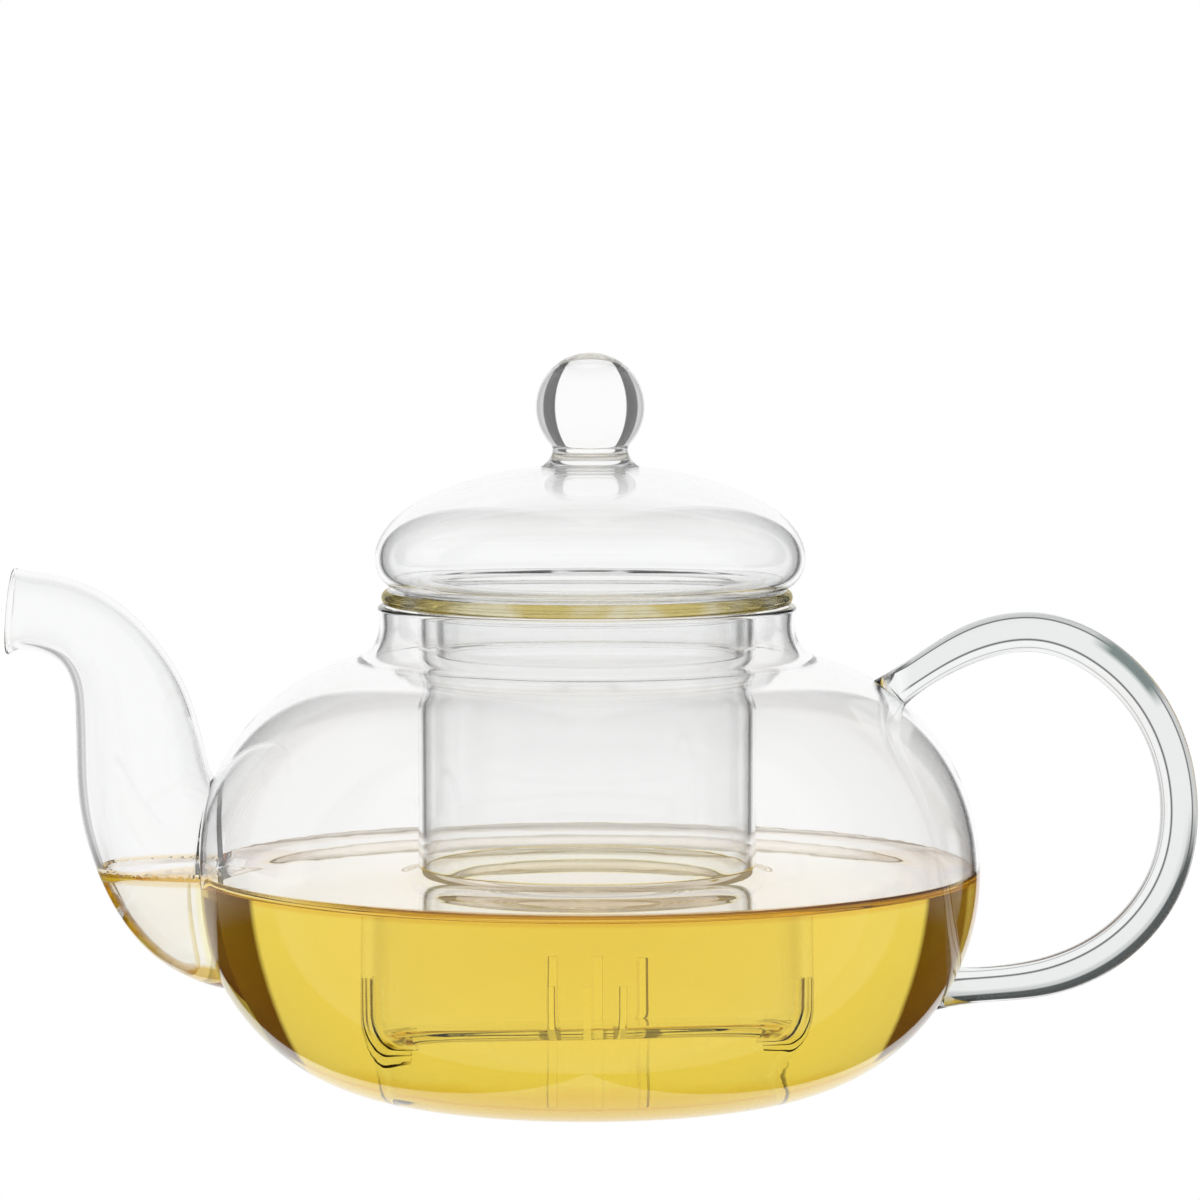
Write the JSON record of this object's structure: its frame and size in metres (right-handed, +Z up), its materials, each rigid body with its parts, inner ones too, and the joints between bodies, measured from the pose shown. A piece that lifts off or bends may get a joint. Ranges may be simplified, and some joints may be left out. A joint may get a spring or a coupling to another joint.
{
  "type": "glass teapot with infuser",
  "caption": "Clear blown-glass teapot, squat and round, with a curled spout, a looped rod handle, a slotted glass infuser, a domed lid with a ball knob and a fill of pale tea.",
  "frame": {"origin": "on the pot's vertical axis, at the flat foot it stands on", "axes": "+Z up along the axis of the pot, infuser and lid; +X from the axis towards the handle, so the spout points to -X; the spout and handle lie on the XZ plane"},
  "size_m": [0.227, 0.1504, 0.1417],
  "materials": {
    "pot_glass": "polished",
    "spout_glass": "polished",
    "handle_glass": "polished",
    "infuser_glass": "polished",
    "lid_glass": "polished",
    "knob_glass": "polished",
    "tea": "gloss"
  },
  "bodies": {
    "pot": {"pot_body": "pot_glass", "spout": "spout_glass", "handle": "handle_glass", "tea": "tea"},
    "infuser": {"infuser": "infuser_glass"},
    "lid": {"lid_dome": "lid_glass", "lid_knob": "knob_glass"}
  },
  "joints": [
    {"name": "infuser_lift", "type": "slide", "parent": "pot", "child": "infuser", "axis": [0, 0, 1], "range_m": [0, 0.1]},
    {"name": "lid_lift", "type": "slide", "parent": "infuser", "child": "lid", "axis": [0, 0, 1], "range_m": [0, 0.04]}
  ]
}
